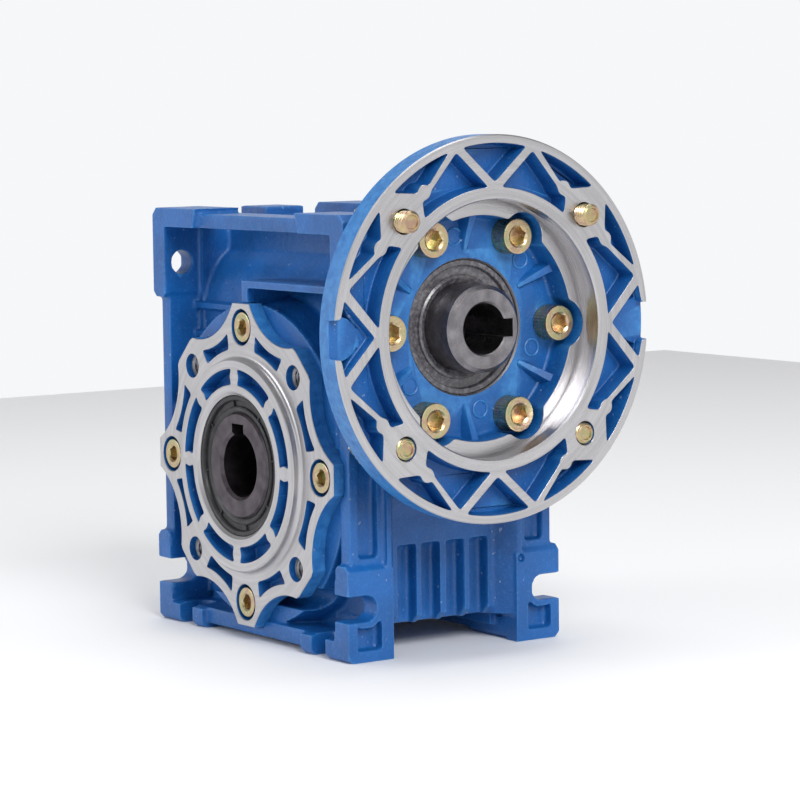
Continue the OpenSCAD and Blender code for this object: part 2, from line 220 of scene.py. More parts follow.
def circle(r, centre=(0, 0), steps=48):
    return [(centre[0] + r * math.cos(t), centre[1] + r * math.sin(t))
            for t in np.linspace(0, 2 * math.pi, steps, endpoint=False)]


def turned(outline, degrees):
    c, s = math.cos(math.radians(degrees)), math.sin(math.radians(degrees))
    return [(u * c - v * s, u * s + v * c) for u, v in outline]


def flipped(outline):
    return [(u, -v) for u, v in reversed(outline)]


def counter_clockwise(outline):
    area = sum(a[0] * b[1] - b[0] * a[1] for a, b in zip(outline, outline[1:] + outline[:1]))
    return outline if area > 0 else list(reversed(outline))


def softened(outline, radius, spacing=0.25):
    """The outline resampled evenly and blurred, so that its corners turn with about that radius."""
    points = np.array(counter_clockwise(list(outline)), float)
    closed = np.vstack([points, points[:1]])
    lengths = np.hypot(*np.diff(closed, axis=0).T)
    along = np.concatenate([[0], np.cumsum(lengths)])
    count = max(24, int(along[-1] / spacing))
    at = np.linspace(0, along[-1], count, endpoint=False)
    dense = np.stack([np.interp(at, along, closed[:, i]) for i in (0, 1)], 1)
    step = along[-1] / count
    for _ in range(max(1, round(2.0 * (0.62 * radius / step) ** 2))):
        dense = 0.5 * dense + 0.25 * (np.roll(dense, 1, 0) + np.roll(dense, -1, 0))
    return [tuple(p) for p in dense]


def grown(outline, amount):
    """The outline moved out by amount along its normals; negative moves it in."""
    points = np.array(outline)
    tangent = np.roll(points, -1, 0) - np.roll(points, 1, 0)
    tangent /= np.linalg.norm(tangent, axis=1)[:, None]
    return [tuple(p) for p in points + amount * np.stack([tangent[:, 1], -tangent[:, 0]], 1)]


def eased(outline, amount):
    """Like grown, in small smoothed steps, so that tight corners do not cross themselves."""
    points = np.array(outline)
    for _ in range(4):
        points = np.array(grown(points, amount / 4))
        for _ in range(3):
            points = 0.5 * points + 0.25 * (np.roll(points, 1, 0) + np.roll(points, -1, 0))
    return [tuple(p) for p in points]


def pocket(outline, top, floor, draft=0.2, fillet=0.5, mouth=0.12):
    """The negative of a cast pocket: small edge break, drafted wall, rounded foot, flat floor."""
    wide = grown(outline, mouth)
    levels = [(wide, top + 0.6), (wide, top), (outline, top - mouth)]
    level, before = eased(outline, -draft), 0
    for t in np.linspace(0, math.pi / 2, 5):
        inward = fillet * (1 - math.cos(t))
        level = eased(level, before - inward)
        before = inward
        levels.append((level, floor + fillet * (1 - math.sin(t))))
    return loft(levels)


def cylinder(r, low, high, centre=(0, 0), steps=64):
    return loft([(circle(r, centre, steps), low), (circle(r, centre, steps), high)])


def place(obj, face):
    """Takes a piece drawn in a face's local millimetres to the row frame in metres."""
    u, v, n, origin = (Vector(x) for x in FACES[face])
    matrix = Matrix((u, v, n)).transposed().to_4x4()
    matrix.translation = origin
    obj.data.transform(Matrix.Scale(MM, 4) @ matrix)
    obj.data.update()
    return obj


def smooth_shade(obj, angle=32):
    obj.data.shade_smooth()
    obj.data.set_sharp_from_angle(angle=math.radians(angle))
    return obj


def finish_by_rule(obj, plain, special, rule):
    """Gives faces for which rule(r, n, normal_n) holds the special material, the rest plain."""
    mesh = obj.data
    mesh.materials.clear()
    mesh.materials.append(plain)
    mesh.materials.append(special)
    count = len(mesh.polygons)
    centre = np.zeros(count * 3)
    normal = np.zeros(count * 3)
    mesh.polygons.foreach_get("center", centre)
    mesh.polygons.foreach_get("normal", normal)
    centre, normal = centre.reshape(-1, 3), normal.reshape(-1, 3)
    chosen = rule(np.hypot(centre[:, 0], centre[:, 1]), centre[:, 2], normal[:, 2])
    mesh.polygons.foreach_set("material_index", chosen.astype(np.int32))
    mesh.update()


# ---------------------------------------------------------------- materials

class Paint:
    """A Principled material with short helpers for its nodes. Positions are the row frame in metres."""

    def __init__(self, name, metallic=0.0, specular=0.5, coat=0.0, coat_roughness=0.1):
        self.material = bpy.data.materials.new(name)
        self.material.use_nodes = True
        self.tree = self.material.node_tree
        self.shader = self.tree.nodes["Principled BSDF"]
        self.shader.inputs["Metallic"].default_value = metallic
        self.shader.inputs["Specular IOR Level"].default_value = specular
        self.shader.inputs["Coat Weight"].default_value = coat
        self.shader.inputs["Coat Roughness"].default_value = coat_roughness
        self.position = self.node("ShaderNodeTexCoord").outputs["Object"]

    def node(self, kind, inputs=None, **settings):
        node = self.tree.nodes.new(kind)
        for key, value in settings.items():
            setattr(node, key, value)
        for key, value in (inputs or {}).items():
            self.feed(node.inputs[key], value)
        return node

    def feed(self, socket, value):
        if isinstance(value, bpy.types.NodeSocket):
            self.tree.links.new(value, socket)
        else:
            socket.default_value = value

    def noise(self, size_mm, detail=2.0, vector=None, roughness=0.5):
        return self.node("ShaderNodeTexNoise", {
            "Vector": vector or self.position, "Scale": 1 / (size_mm * MM),
            "Detail": detail, "Roughness": roughness}).outputs["Fac"]

    def span(self, value, low, high, to_low=0.0, to_high=1.0):
        return self.node("ShaderNodeMapRange", {
            "Value": value, "From Min": low, "From Max": high,
            "To Min": to_low, "To Max": to_high}).outputs["Result"]

    def math(self, operation, a, b=0.0):
        node = self.node("ShaderNodeMath", {0: a, 1: b}, operation=operation)
        return node.outputs[0]

    def mix(self, factor, a, b):
        node = self.node("ShaderNodeMix", data_type="RGBA")
        self.feed(node.inputs[0], factor)
        self.feed(node.inputs[6], a if isinstance(a, bpy.types.NodeSocket) else (*a, 1))
        self.feed(node.inputs[7], b if isinstance(b, bpy.types.NodeSocket) else (*b, 1))
        return node.outputs[2]

    def edges(self, low, high):
        pointiness = self.node("ShaderNodeNewGeometry").outputs["Pointiness"]
        return self.span(pointiness, low, high)

    def bump(self, layers):
        """layers: (height, depth in mm) pairs, laid one over another."""
        normal = None
        for height, depth_mm in layers:
            inputs = {"Height": height, "Distance": depth_mm * MM, "Strength": 1.0}
            if normal is not None:
                inputs["Normal"] = normal
            normal = self.node("ShaderNodeBump", inputs).outputs["Normal"]
        self.feed(self.shader.inputs["Normal"], normal)

    def turned(self, axis, centre_z_mm=0.0):
        """(radius, place along the axis, angle): coordinates for marks left by turning."""
        parts = self.node("ShaderNodeSeparateXYZ", {"Vector": self.position}).outputs
        z = self.math("SUBTRACT", parts["Z"], centre_z_mm * MM)
        across, along = (parts["X"], parts["Y"]) if axis == "Y" else (parts["Y"], parts["X"])
        square = self.math("ADD", self.math("MULTIPLY", across, across),
                           self.math("MULTIPLY", z, z))
        return self.math("SQRT", square), along, self.math("ARCTAN2", z, across)

    def rings(self, coordinates, pitch_mm, detail=2.0):
        """Fine circular tool marks: noise that changes quickly with radius and slowly round it."""
        radius, along, angle = coordinates
        vector = self.node("ShaderNodeCombineXYZ", {
            "X": self.math("MULTIPLY", radius, 1 / (pitch_mm * MM)),
            "Y": self.math("MULTIPLY", along, 1 / (pitch_mm * MM)),
            "Z": self.math("MULTIPLY", angle, 1.5)}).outputs["Vector"]
        return self.node("ShaderNodeTexNoise", {
            "Vector": vector, "Scale": 1.0, "Detail": detail}).outputs["Fac"]

    def surface(self, color, roughness):
        self.feed(self.shader.inputs["Base Color"], color)
        self.feed(self.shader.inputs["Roughness"], roughness)
        return self.material


def casting_paint(name, deep, clean, edge):
    """Blue enamel sprayed over a sand-rough casting, lighter on the edges: partly paint worn thin there,
    partly a painted highlight.
    """
    p = Paint(name, specular=0.42, coat=0.12, coat_roughness=0.22)
    broad = p.noise(14, 3)
    grain = p.noise(0.85, 3, roughness=0.6)
    body = p.mix(p.span(broad, 0.35, 0.65), deep, clean)
    body = p.mix(p.math("MULTIPLY", p.span(grain, 0.56, 0.75), 0.35), body, edge)
    # Edges found by pointiness get the lighter blue: partly paint worn thin, partly a painted highlight
    # along the edges.
    wear_and_highlight = p.math("MULTIPLY", p.edges(0.515, 0.57), p.span(p.noise(2.2, 3), 0.30, 0.62, 0.25, 0.8))
    body = p.mix(wear_and_highlight, body, edge)
    specks = p.math("MULTIPLY", p.span(p.noise(1.5, 1), 0.74, 0.78), 0.5)
    body = p.mix(specks, body, (0.30, 0.38, 0.52))
    p.bump([(p.noise(4.5, 2), 0.24), (grain, 0.16), (p.noise(0.35, 1), 0.04)])
    return p.surface(body, p.span(p.noise(3, 3), 0.3, 0.7, 0.33, 0.48))


def machined(name, axis, centre_z_mm, tint, roughness=0.34):
    """Turned aluminium: circular tool marks, fine scratches across them, slight staining."""
    p = Paint(name, metallic=1.0)
    place_round = p.turned(axis, centre_z_mm)
    fine = p.rings(place_round, 0.22)
    wide = p.rings(place_round, 1.1, 3)
    stain = p.noise(7, 4)
    pits = p.span(p.noise(0.5, 2), 0.68, 0.80)
    light = tuple(min(1.0, 1.10 * c) for c in tint)
    dark = tuple(0.88 * c for c in tint)
    color = p.mix(p.span(wide, 0.3, 0.7), dark, light)
    color = p.mix(p.math("MULTIPLY", p.span(stain, 0.5, 0.75), 0.35), color, dark)
    color = p.mix(p.math("MULTIPLY", pits, 0.35), color, (0.25, 0.25, 0.27))
    p.bump([(wide, 0.007), (fine, 0.010), (pits, 0.01)])
    rough = p.span(fine, 0.25, 0.75, roughness - 0.07, roughness + 0.10)
    return p.surface(color, rough)


def dark_steel(name, axis, centre_z_mm, base, light, roughness):
    """Ground shaft steel, browned and handled."""
    p = Paint(name, metallic=1.0)
    place_round = p.turned(axis, centre_z_mm)
    fine = p.rings(place_round, 0.16)
    color = p.mix(p.span(p.noise(3.5, 4), 0.35, 0.7), base, light)
    color = p.mix(p.math("MULTIPLY", p.span(p.noise(0.6, 2), 0.62, 0.75), 0.4), color,
                  tuple(0.5 * c for c in base))
    p.bump([(fine, 0.010), (p.noise(0.5, 2), 0.006)])
    return p.surface(color, p.span(fine, 0.3, 0.7, roughness - 0.06, roughness + 0.10))


def yellow_zinc(name):
    """Yellow passivated zinc: gold that drifts to pink and green, dull in places."""
    p = Paint(name, metallic=1.0)
    drift = p.noise(3.0, 2)
    color = p.mix(p.span(drift, 0.35, 0.52), (0.46, 0.30, 0.21), (0.52, 0.40, 0.21))
    color = p.mix(p.span(drift, 0.52, 0.68), color, (0.38, 0.40, 0.20))
    color = p.mix(p.span(p.noise(0.9, 3), 0.5, 0.75, 0, 0.5), color, (0.60, 0.52, 0.38))
    color = p.mix(p.math("MULTIPLY", p.edges(0.53, 0.60), 0.6), color, (0.72, 0.62, 0.46))
    p.bump([(p.noise(0.35, 2), 0.014), (p.noise(1.2, 2), 0.02)])
    return p.surface(color, p.span(p.noise(1.4, 3), 0.3, 0.7, 0.22, 0.42))


def rubber(name, base=(0.012, 0.012, 0.014), shine=0.42):
    """Moulded black rubber with an oily bloom."""
    p = Paint(name, specular=0.45)
    bloom = p.span(p.noise(2.5, 4), 0.45, 0.75)
    color = p.mix(p.math("MULTIPLY", bloom, 0.5), base, (0.05, 0.05, 0.055))
    p.bump([(p.noise(0.5, 3), 0.02)])
    return p.surface(color, p.span(p.noise(1.8, 3), 0.3, 0.7, shine - 0.12, shine + 0.12))


def wet_rubber(name):
    """Rubber with a film of grease in streaks and beads."""
    p = Paint(name, specular=0.5, coat=0.6, coat_roughness=0.08)
    streak = p.noise(1.3, 3)
    color = p.mix(p.span(streak, 0.45, 0.7), (0.055, 0.052, 0.060), (0.150, 0.142, 0.156))
    p.bump([(streak, 0.12), (p.noise(0.4, 2), 0.02)])
    return p.surface(color, p.span(p.noise(1.0, 2), 0.35, 0.65, 0.10, 0.40))


def polished(name, base, roughness):
    """Plain bright metal with a little haze."""
    p = Paint(name, metallic=1.0)
    haze = p.noise(2.0, 3)
    color = p.mix(haze, tuple(0.85 * c for c in base), base)
    p.bump([(p.noise(0.3, 2), 0.004)])
    return p.surface(color, p.span(haze, 0.3, 0.7, roughness - 0.03, roughness + 0.06))


def fibre(name):
    """Pressed gasket board."""
    p = Paint(name, specular=0.3)
    color = p.mix(p.noise(0.8, 4), (0.10, 0.10, 0.09), (0.17, 0.16, 0.14))
    p.bump([(p.noise(0.3, 3), 0.03)])
    return p.surface(color, p.span(p.noise(0.6, 2), 0.3, 0.7, 0.75, 0.9))


BLUE_DEEP, BLUE, BLUE_EDGE = (0.004, 0.078, 0.275), (0.006, 0.105, 0.360), (0.045, 0.23, 0.54)
SILVER = (0.51, 0.50, 0.51)
M = {
    "paint": casting_paint("blue_enamel", BLUE_DEEP, BLUE, BLUE_EDGE),
    "cover_face": machined("turned_cover", "Y", 0, SILVER),
    "flange_face": machined("turned_flange", "X", WORM_Z, SILVER, 0.30),
    "gold": yellow_zinc("yellow_zinc_plate"),
    "output_steel": dark_steel("browned_shaft", "Y", 0, (0.070, 0.060, 0.070), (0.125, 0.110, 0.122), 0.36),
    "input_steel": dark_steel("ground_shaft", "X", WORM_Z, (0.18, 0.17, 0.18), (0.30, 0.285, 0.30), 0.30),
    "thread": polished("bare_thread", (0.26, 0.26, 0.28), 0.28),
    "rubber": rubber("seal_rubber"),
    "wet_rubber": wet_rubber("greasy_seal"),
    "bearing": polished("bearing_steel", (0.66, 0.66, 0.67), 0.16),
    "cage": polished("pressed_cage", (0.52, 0.49, 0.44), 0.35),
    "bronze": machined("cut_bronze", "Y", 0, (0.66, 0.44, 0.20), 0.33),
    "spring": polished("spring_steel", (0.12, 0.12, 0.13), 0.35),
    "gasket": fibre("gasket_fibre"),
}


# ---------------------------------------------------------------- fasteners

def hexagon(across_flats, steps=96):
    out = []
    for t in np.linspace(0, 2 * math.pi, steps, endpoint=False):
        near = (t + math.pi / 6) % (math.pi / 3) - math.pi / 6
        r = across_flats / 2 / math.cos(near)
        out.append((r * math.cos(t), r * math.sin(t)))
    return out


def scaled(outline, factor):
    return [(u * factor, v * factor) for u, v in outline]


def cap_screw(head_r, head_h, shank_r, length, key):
    """Socket head cap screw, head underside at n = 0, with a knurled side and a chamfered socket."""
    steps, teeth = 144, 36
    turn = np.arange(steps)
    knurl = np.where(turn % (steps // teeth) < 2, 0.0, -0.10)
    profile = [(0, shank_r, 0), (0, head_r - 0.15, 0), (0.2, head_r, 0), (0.3, head_r, 1),
               (head_h - 1.0, head_r, 1), (head_h - 0.9, head_r, 0), (head_h - 0.45, head_r, 0),
               (head_h - 0.15, head_r - 0.14, 0), (head_h, head_r - 0.5, 0)]
    radii = [[r + k * knurl[i] for i in range(steps)] for _, r, k in profile[1:]]
    head = grid_tube(radii, [n for n, _, _ in profile[1:]])
    shank = cylinder(shank_r, -length, 0.3)
    unite(head, [shank])
    depth = 0.62 * head_h
    socket = hexagon(key)
    wide = circle(key / 2 / math.cos(math.pi / 6) + 0.28, steps=96)
    mouth = circle(key / 2 / math.cos(math.pi / 6) - 0.02, steps=96)
    hexed = loft([(socket, head_h - depth), (socket, head_h + 0.1)])
    flare = loft([(scaled(mouth, 0.86), head_h - 0.55), (wide, head_h), (wide, head_h + 0.2)])
    tip = loft([(circle(0.1, steps=96), head_h - depth - 1.0),
                (scaled(circle(key / 2 - 0.05, steps=96), 1.0), head_h - depth + 0.02)])
    return cut(head, [hexed, flare, tip])


def thread_radii(heights, minor, major, pitch, steps=48):
    turn = np.arange(steps) / steps
    rows = []
    for n in heights:
        wave = np.abs(((n / pitch - turn) % 1.0) - 0.5) * 2
        rows.append(minor + (major - minor) * np.clip(1.25 * wave - 0.1, 0, 1))
    return rows


def bolt_with_thread(head_n, tip_n, thread_from):
    """Hex bolt whose head is below head_n and whose thread ends in a chamfered tip at tip_n."""
    hexed = hexagon(10)
    head = loft([(scaled(hexed, 0.96), head_n - 4), (hexed, head_n - 3.7), (hexed, head_n - 0.3),
                 (scaled(hexed, 0.97), head_n)])
    shank = cylinder(2.95, head_n - 0.2, thread_from + 0.4)
    heights = np.arange(thread_from, tip_n + 0.01, 0.125)
    rows = thread_radii(heights, 2.4, 3.0, 1.0)
    rows = [np.minimum(row, 2.3 + 1.1 * (tip_n - n)) for row, n in zip(rows, heights)]
    thread = grid_tube(rows, heights)
    cup = lathe([(0, tip_n - 0.4), (1.7, tip_n - 0.4), (1.95, tip_n + 0.1), (0, tip_n + 0.1)], 48)
    return join("bolt", [head, shank, cut(thread, [cup])])


def thread_sleeve(low, high, major=3.0, minor=2.5, outer=3.31):
    """The cut thread of a tapped hole, with a plain countersunk mouth."""
    heights = np.arange(low, high + 0.01, 0.125)
    rows = thread_radii(heights, minor, major, 1.0)
    rows = [np.maximum(row, major + 0.25 - 1.2 * (high - n)) for row, n in zip(rows, heights)]
    return grid_tube(rows, heights, outer)


def at(obj, u, v, turn=0.0):
    obj.data.transform(Matrix.Translation((u, v, 0)) @ Matrix.Rotation(math.radians(turn), 4, "Z"))
    return obj


def copies(source, spots):
    """Copies of one piece at (u, v, turn in degrees) spots; the first copy is the piece itself."""
    out = []
    for u, v, turn in spots:
        obj = bpy.data.objects.new(source.name, source.data.copy())
        bpy.context.scene.collection.objects.link(obj)
        out.append(at(obj, u, v, turn))
    drop(source)
    return out


# ---------------------------------------------------------------- output faces

STAR_N, RING_N, SEAT_N = 37.4, 40.0, 33.0
RING_R, SEAL_R = 30.0, 20.0
SCREW_R, TAPPED_R = 39.0, 37.5
TIP_R, TIP_HALF = (45.7, 43.6), (4.6, 4.4)
SCALLOP_AT, SCALLOP_R = 60.2, 21.2


def star_outline(steps=1080):
    """Eight-pointed plate: flat tips at two radii in turn, joined by concave arcs."""
    out = []
    for t in np.linspace(0, 2 * math.pi, steps, endpoint=False):
        sector = (math.degrees(t) + 22.5) % 45 - 22.5
        index = round((math.degrees(t) - sector) / 45) % 2
        flat = TIP_R[index]
        r = flat / math.cos(math.radians(sector))
        half = TIP_HALF[index]
        side = abs(sector) - math.degrees(math.atan2(half, flat))
        if side > 0:  # the straight edge between two tips
            other = TIP_R[1 - index]
            a = (flat, half)
            b = polar(math.hypot(other, 4.5), 45 - math.degrees(math.atan2(4.5, other)))
            d = (math.cos(math.radians(abs(sector))), math.sin(math.radians(abs(sector))))
            e = (b[0] - a[0], b[1] - a[1])
            r = (a[0] * e[1] - a[1] * e[0]) / (d[0] * e[1] - d[1] * e[0])
        offset = math.radians(22.5 - abs(sector))
        reach = SCALLOP_R ** 2 - (SCALLOP_AT * math.sin(offset)) ** 2
        if reach > 0:
            r = min(r, SCALLOP_AT * math.cos(offset) - math.sqrt(reach))
        out.append((r * math.cos(t), r * math.sin(t)))
    return out


def ring_pocket():
    """Pocket of the pilot ring between two webs, whose sides bulge where the ejector pins stood."""
    inner, outer, half, bulge, bulge_at = 22.9, 27.4, 1.55, 2.2, 25.2
    side = []
    for r in np.linspace(inner, outer, 24):
        off = math.sqrt(max(0, bulge ** 2 - (r - bulge_at) ** 2))
        side.append(polar(r, math.degrees(math.asin(max(half, off) / r))))
    other = turned(flipped(side), 45)
    start = math.degrees(math.asin(half / outer))
    outer_arc = [polar(outer, a) for a in np.linspace(start, 45 - start, 20)][1:-1]
    start = math.degrees(math.asin(half / inner))
    inner_arc = [polar(inner, a) for a in np.linspace(45 - start, start, 16)][1:-1]
    return softened(side + outer_arc + other + inner_arc, 1.0, 0.2)


def outer_pocket():
    """Pocket between the pilot ring and a concave edge of the star, centred on angle 0."""
    low = [polar(33.0, a) for a in np.linspace(-11.0, 11.0, 9)]
    reach, half = 24.4, 7.4
    arc = [(SCALLOP_AT - math.sqrt(reach ** 2 - v * v), v) for v in np.linspace(half, -half, 15)]
    return softened(low + arc, 1.1, 0.2)


def output_face(back, tapped_from):
    """The star, pilot ring and pockets, solid down to n = back, with room for a seal."""
    star = star_outline()
    plate = loft([(star, back), (star, STAR_N - 0.18), (grown(star, -0.15), STAR_N)])
    foot = [(RING_R + 1.3 - 1.3 * math.sin(t), STAR_N + 1.3 - 1.3 * math.cos(t))
            for t in np.linspace(0, math.pi / 2, 7)]
    ring = lathe([(0, back + 1), (RING_R + 1.3, back + 1)] + foot
                 + [(RING_R, RING_N - 0.3), (RING_R - 0.3, RING_N), (0, RING_N)])
    unite(plate, [ring])
    cutters = [pocket(turned(ring_pocket(), 45 * k), RING_N, 34.8) for k in range(8)]
    cutters += [pocket(turned(outer_pocket(), 45 * k + 22.5), STAR_N, SEAT_N + 0.2)
                for k in range(8)]
    for k in range(4):
        spot = polar(TAPPED_R, 90 * k + 45)
        cutters.append(cylinder(3.32, tapped_from, STAR_N - 1.0, spot))
        cutters.append(cylinder(3.5, STAR_N - 1.8, STAR_N + 1, spot))
    cutters.append(lathe([(0, back - 9), (SEAL_R, back - 9), (SEAL_R, RING_N - 0.8),
                          (SEAL_R + 0.9, RING_N + 0.1), (0, RING_N + 0.1)]))
    return cut(plate, cutters)


def output_face_metal(r, n, normal):
    flat = (normal > 0.9) & ((np.abs(n - STAR_N) < 0.05) | (n > RING_N - 0.05))
    broken_edge = (n > STAR_N - 0.2) & (n < STAR_N + 0.01) & (normal > 0.2)
    register = (n > STAR_N - 0.02) & (r > RING_R - 0.5) & (r < RING_R + 1.45)
    seal_bore = r < SEAL_R + 1.0
    return flat | broken_edge | register | seal_bore | ((n > RING_N - 0.2) & (normal > 0.2))


def output_cover():
    cover = output_face(SEAT_N, SEAT_N - 1)
    spigot = lathe([(27.5, 19), (34, 19), (34, SEAT_N + 0.5), (27.5, SEAT_N + 0.5)])
    unite(cover, [spigot])
    bores = []
    for k in range(4):
        u, v = polar(SCREW_R, 90 * k)
        bores.append(loft([(circle(5.1, (u, v)), 33.6), (circle(5.1, (u, v)), STAR_N - 0.2),
                           (circle(5.3, (u, v)), STAR_N), (circle(5.3, (u, v)), STAR_N + 1)]))
        bores.append(cylinder(2.75, SEAT_N - 1, 34, (u, v)))
    cut(cover, bores)
    finish_by_rule(cover, M["paint"], M["cover_face"], output_face_metal)
    sleeves = copies(thread_sleeve(SEAT_N, STAR_N - 1.8),
                     [(*polar(TAPPED_R, 90 * k + 45), 30 * k) for k in range(4)])
    for sleeve in sleeves:
        coated(sleeve, M["thread"])
    return place(join("output_cover_casting", [cover] + sleeves), "near")


def cover_screws():
    screws = copies(cap_screw(4.25, 3.5, 2.4, 9.5, 4.0),
                    [(*polar(SCREW_R, 90 * k), 17 + 23 * k) for k in range(4)])
    piece = join("cover_cap_screws", screws)
    piece.data.transform(Matrix.Translation((0, 0, 33.6)))
    coated(piece, M["gold"])
    return place(piece, "near")


# ---------------------------------------------------------------- motor flange

FLANGE_N, FLANGE_BACK, RIM_R = 70.0, 62.0, 52.5
PILOT_R, STEP_N, HUB_N, HUB_R = 35.0, 63.3, 55.4, 30.7
POCKET_N, TONGUE_N = 63.8, 67.0
HUB_SCREW_R, BOLT_R, BAY_R = 28.2, 42.5, 6.7


def around_pad(points):
    """Bends an outline round the boss that stands between the two pockets beside a bolt."""
    pad, reach = polar(44.2, 13.2), 2.1
    dense = softened(points, 0.3, 0.2)
    out = []
    for u, v in dense:
        off = math.hypot(u - pad[0], v - pad[1])
        if off < reach:
            scale = reach / max(off, 0.05)
            u, v = pad[0] + (u - pad[0]) * scale, pad[1] + (v - pad[1]) * scale
        out.append((u, v))
    return softened(out, 1.0, 0.22)


def flange_pockets():
    """Face pockets: two pairs at each bolt pad, a triangle at top and bottom, a notch at each side."""
    near_ring = [polar(38.4, a) for a in np.linspace(41.8, 7.8, 14)]
    inner = near_ring + [polar(42.4, 10.6), polar(43.0, 14.4), polar(49.5, 30.1)]
    rim = [polar(50.2, a) for a in np.linspace(3.6, 27.4, 12)]
    sliver = rim + [polar(44.7, 15.1), polar(45.4, 10.3)]
    out = []
    for k in range(4):
        for shape in (inner, sliver):
            outline = around_pad(shape)
            for half in (outline, counter_clockwise(flipped(outline))):
                out.append(pocket(turned(half, 90 * k + 45), FLANGE_N, POCKET_N))
    triangle = [polar(50.2, a) for a in np.linspace(-12.2, 12.2, 9)] + [(39.7, 0.0)]
    for k in (0, 2):
        out.append(pocket(turned(softened(triangle, 1.2, 0.22), 90 * k + 90), FLANGE_N, POCKET_N))
    # At the sides the triangle opens through the rim over a raised tongue.
    notch = [(54.5, -5.2), (54.5, 5.2), (50.4, 5.2), polar(50.2, 11.6), (39.7, 0), polar(50.2, -11.6),
             (50.4, -5.2)]
    beside = [(43.2, 2.2), polar(50.2, 12.0), (50.2, 6.2), (46.6, 4.9)]
    for k in (0, 2):
        out.append(pocket(turned(softened(notch, 0.8, 0.22), 90 * k), FLANGE_N, TONGUE_N, fillet=0.5))
        for half in (beside, flipped(beside)):
            deep = grown(softened(half, 0.7, 0.2), -0.25)
            out.append(pocket(turned(deep, 90 * k), TONGUE_N + 0.3, POCKET_N, mouth=0.3))
    return out


def hub_outline():
    """Inside wall of the hub: a circle with a round bay at each of the six screws."""
    out = []
    for a in np.linspace(0, 360, 720, endpoint=False):
        off = math.radians((a + 30) % 60 - 30)
        reach = BAY_R ** 2 - (HUB_SCREW_R * math.sin(off)) ** 2
        r = HUB_R
        if reach > 0:
            r = max(r, HUB_SCREW_R * math.cos(off) + math.sqrt(reach))
        out.append(polar(r, a))
    return softened(out, 0.8, 0.25)


def hub_ribs():
    """Short wedge ribs on the hub floor, rising to the wall between the screws."""
    out = []
    rows = ((20.8, 0.35, 0.3), (24.0, 0.7, 1.5), (31.2, 1.1, 4.6))  # radius, half width, height
    for k in range(6):
        verts, faces = [], []
        for r, half, height in rows:
            foot = half + 0.9
            verts += [(r, -foot, HUB_N - 0.3), (r, -half, HUB_N + height),
                      (r, half, HUB_N + height), (r, foot, HUB_N - 0.3)]
        for i in (0, 4):
            for a in range(4):
                b = (a + 1) % 4
                faces.append([i + a, i + b, i + 4 + b, i + 4 + a])
        faces += [[0, 1, 2, 3], [8, 9, 10, 11]]
        rib = new_object("rib", verts, faces)
        rib.data.transform(Matrix.Rotation(math.radians(60 * k + 30), 4, "Z"))
        out.append(rib)
    return out


def ejector_marks():
    """Low rings left on the hub floor by the die's ejector pins."""
    profile = [(1.9, HUB_N - 0.2), (2.0, HUB_N + 0.2), (2.3, HUB_N + 0.4), (2.6, HUB_N + 0.2),
               (2.7, HUB_N - 0.2)]
    return [lathe_at(polar(r, a), profile, 40)
            for r, a in ((26.0, 43), (23.7, -16.5), (23.8, -141), (23.3, -78), (25.1, 97.6))]


def flange_metal(r, n, normal):
    web = (normal > 0.9) & (n > FLANGE_N - 0.05)
    broken_edge = (n > FLANGE_N - 0.14) & (normal > 0.2)
    rim_edge = (n > FLANGE_N - 0.55) & (r > RIM_R - 0.5)
    pilot = (n > STEP_N - 0.3) & (r > 33.0) & (r < PILOT_R + 1.0)
    step = (n > STEP_N - 0.3) & (n < STEP_N + 0.2) & (normal > 0.5)
    seal_seat = (r < 19.6) & (n < HUB_N - 0.1)
    return web | broken_edge | rim_edge | pilot | step | seal_seat


def input_flange():
    body = lathe([
        (13.5, 43.1), (20.5, 43.1), (20.95, 43.5), (20.95, 50.3), (30.7, 50.3), (31.2, 50.8),
        (31.2, 53.2), (32.0, 54.0), (38.2, 54.0), (39.0, 54.8), (39.0, 60.8), (40.2, FLANGE_BACK),
        (51.6, FLANGE_BACK), (52.5, 62.9), (RIM_R, FLANGE_N - 0.35), (RIM_R - 0.35, FLANGE_N),
        (PILOT_R + 0.35, FLANGE_N), (PILOT_R, FLANGE_N - 0.35), (PILOT_R, 65.3), (PILOT_R + 0.4, 65.1),
        (PILOT_R + 0.4, STEP_N - 0.15), (PILOT_R - 1.0, STEP_N - 0.15), (PILOT_R - 1.3, STEP_N),
        (13.5, STEP_N)], 240)
    cut(body, flange_pockets() + [pocket(hub_outline(), STEP_N, HUB_N, draft=0.3, fillet=1.1)])
    unite(body, hub_ribs() + ejector_marks())
    seal_bore = lathe([(0, 47.9), (18.5, 47.9), (18.5, HUB_N - 0.4), (19.3, HUB_N + 0.4), (19.3, 60),
                       (0, 60)])
    holes = [seal_bore]
    for k in range(6):
        spot = polar(HUB_SCREW_R, 60 * k)
        holes.append(cylinder(3.3, 49, 60, spot))
        holes.append(lathe_at(spot, [(0, HUB_N + 0.02), (5.3, HUB_N + 0.02), (5.3, 62), (0, 62)]))
    for k in range(4):
        spot = polar(BOLT_R, 90 * k + 45)
        holes.append(loft([(circle(6.3, spot), 45), (circle(6.3, spot), 61.9)]))
        holes.append(loft([(circle(3.3, spot), 60), (circle(3.3, spot), FLANGE_N - 0.2),
                           (circle(3.5, spot), FLANGE_N), (circle(3.5, spot), 71)]))
    cut(body, holes)
    finish_by_rule(body, M["paint"], M["flange_face"], flange_metal)
    return place(join("motor_flange_casting", [body]), "front")


def lathe_at(spot, profile, steps=64):
    return at(lathe(profile, steps), *spot)


def flange_screws():
    screws = copies(cap_screw(4.9, 5.9, 3.0, 12, 5.0),
                    [(*polar(HUB_SCREW_R, 60 * k), 11 + 37 * k) for k in range(6)])
    piece = join("flange_cap_screws", screws)
    piece.data.transform(Matrix.Translation((0, 0, HUB_N)))
    coated(piece, M["gold"])
    return place(piece, "front")


